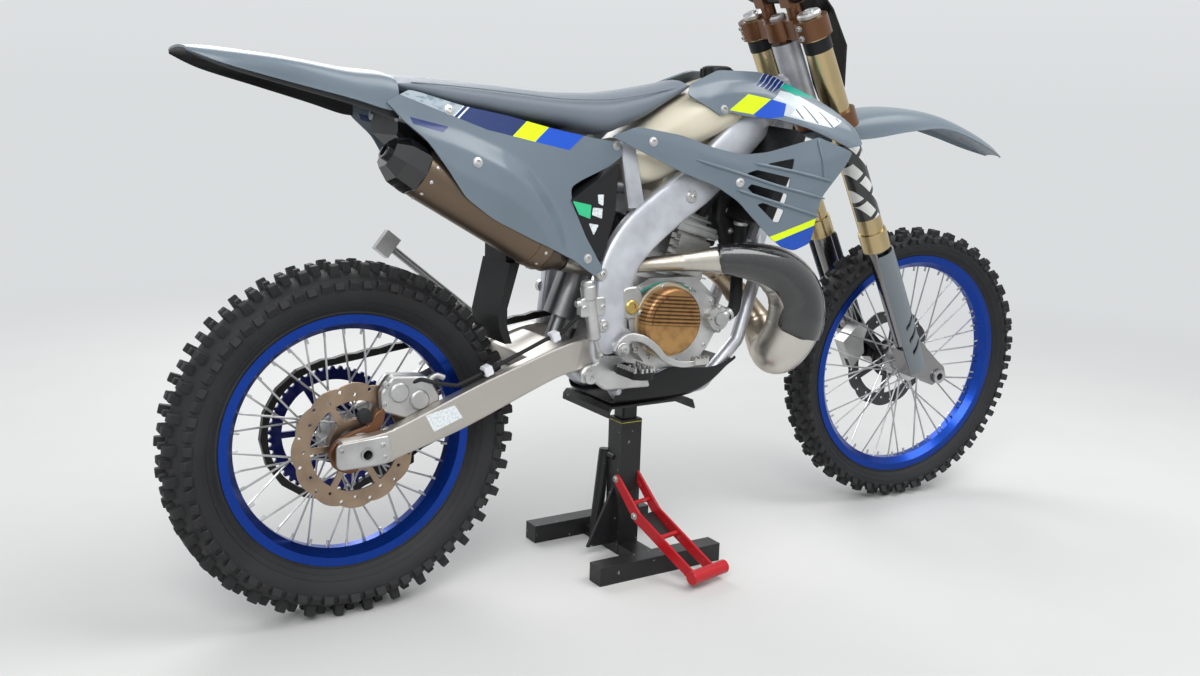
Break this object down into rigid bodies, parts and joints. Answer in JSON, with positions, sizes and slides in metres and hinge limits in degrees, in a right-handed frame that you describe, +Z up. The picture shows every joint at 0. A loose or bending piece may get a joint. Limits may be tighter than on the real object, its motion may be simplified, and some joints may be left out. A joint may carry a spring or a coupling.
{
  "type": "enduro motorcycle on a lift stand",
  "caption": "Two-stroke enduro motorcycle held on a lift stand under its engine, with spinning wire wheels, steering fork and a folding side stand.",
  "frame": {"origin": "on the floor, at the middle of the underside of the lift stand's crossbar", "axes": "+X towards the front wheel, +Y to the rider's left, +Z up"},
  "size_m": [2.1622, 0.815, 1.3862],
  "materials": {
    "steel": "polished",
    "brushed_aluminium": "brushed",
    "chain_steel": "oiled",
    "black_plastic": "moulded",
    "cast_silver": "cast",
    "raw_aluminium": "satin",
    "seat_vinyl": "grained",
    "clear_plastic": "translucent cream",
    "slate_plastic": "glossy",
    "black_rubber": "matt",
    "shock_steel": "satin",
    "worn_bronze": "worn anodised",
    "raw_steel": "bare",
    "carbon_weave": "lacquered weave",
    "bronze_titanium": "satin anodised",
    "black_steel": "satin",
    "black_aluminium": "anodised",
    "black_paint": "powder coated",
    "red_paint": "powder coated",
    "tyre_rubber": "matt, lugged",
    "blue_anodised": "anodised",
    "silver_hub": "satin",
    "bronze_disc": "ground",
    "navy_sprocket": "anodised",
    "gold_anodised": "anodised",
    "dark_chrome": "polished",
    "grey_plastic": "moulded",
    "bronze_clamp": "anodised",
    "blue_plastic": "glossy",
    "dark_disc": "ground"
  },
  "bodies": {
    "chassis": {"rear_axle": "steel", "swingarm": "brushed_aluminium", "drive_chain": "chain_steel", "chain_guide": "black_plastic", "rear_brake_caliper": "cast_silver", "frame_head": "raw_aluminium", "frame_spars": "raw_aluminium", "frame_cradle": "raw_aluminium", "subframe": "raw_aluminium", "seat": "seat_vinyl", "fuel_tank": "clear_plastic", "side_panels": "slate_plastic", "rear_fender": "slate_plastic", "airbox": "black_plastic", "mud_flap": "black_rubber", "shock_absorber": "shock_steel", "engine_cases": "cast_silver", "clutch_cover": "worn_bronze", "water_pump": "cast_silver", "cylinder": "cast_silver", "exhaust_pipe": "raw_steel", "pipe_guard": "carbon_weave", "silencer": "bronze_titanium", "skid_plate": "black_plastic", "footpegs": "black_steel", "brake_pedal": "cast_silver", "shift_lever": "cast_silver", "rear_master_cylinder": "cast_silver", "rear_brake_hose": "black_rubber", "radiators": "black_aluminium", "radiator_shrouds": "slate_plastic", "side_stand_bracket": "cast_silver", "stand_base": "black_paint", "stand_table": "black_paint", "stand_lever": "red_paint"},
    "rear_wheel": {"rear_tyre": "tyre_rubber", "rear_rim": "blue_anodised", "rear_hub": "silver_hub", "rear_disc": "bronze_disc", "rear_sprocket": "navy_sprocket"},
    "steering": {"fork_outer_tubes": "gold_anodised", "fork_legs": "dark_chrome", "fork_guards": "grey_plastic", "front_axle": "steel", "upper_clamp": "bronze_clamp", "lower_clamp": "bronze_clamp", "handlebar": "black_aluminium", "grips": "black_rubber", "control_levers": "black_aluminium", "hand_guards": "blue_plastic", "number_plate": "black_plastic", "front_fender": "slate_plastic", "front_brake_caliper": "cast_silver"},
    "front_wheel": {"front_tyre": "tyre_rubber", "front_rim": "blue_anodised", "front_hub": "silver_hub", "front_disc": "dark_disc"},
    "side_stand": {"side_stand": "cast_silver"}
  },
  "joints": [
    {"name": "rear_wheel_spin", "type": "hinge", "parent": "chassis", "child": "rear_wheel", "pos_m": [-0.637, 0, 0.338], "axis": [0, 1, 0], "continuous": true},
    {"name": "steering_turn", "type": "hinge", "parent": "chassis", "child": "steering", "pos_m": [0.43185, 0, 1.03866], "axis": [-0.4503, 0, 0.8929], "range_deg": [-37, 49]},
    {"name": "front_wheel_spin", "type": "hinge", "parent": "steering", "child": "front_wheel", "pos_m": [0.84267, -0.00596, 0.34986], "axis": [0.0933, 0.9945, 0.0471], "continuous": true},
    {"name": "side_stand_swing", "type": "hinge", "parent": "chassis", "child": "side_stand", "pos_m": [-0.186, 0.128, 0.436], "axis": [-0.4214, -0.8293, -0.3671], "range_deg": [0, 128.6]}
  ]
}
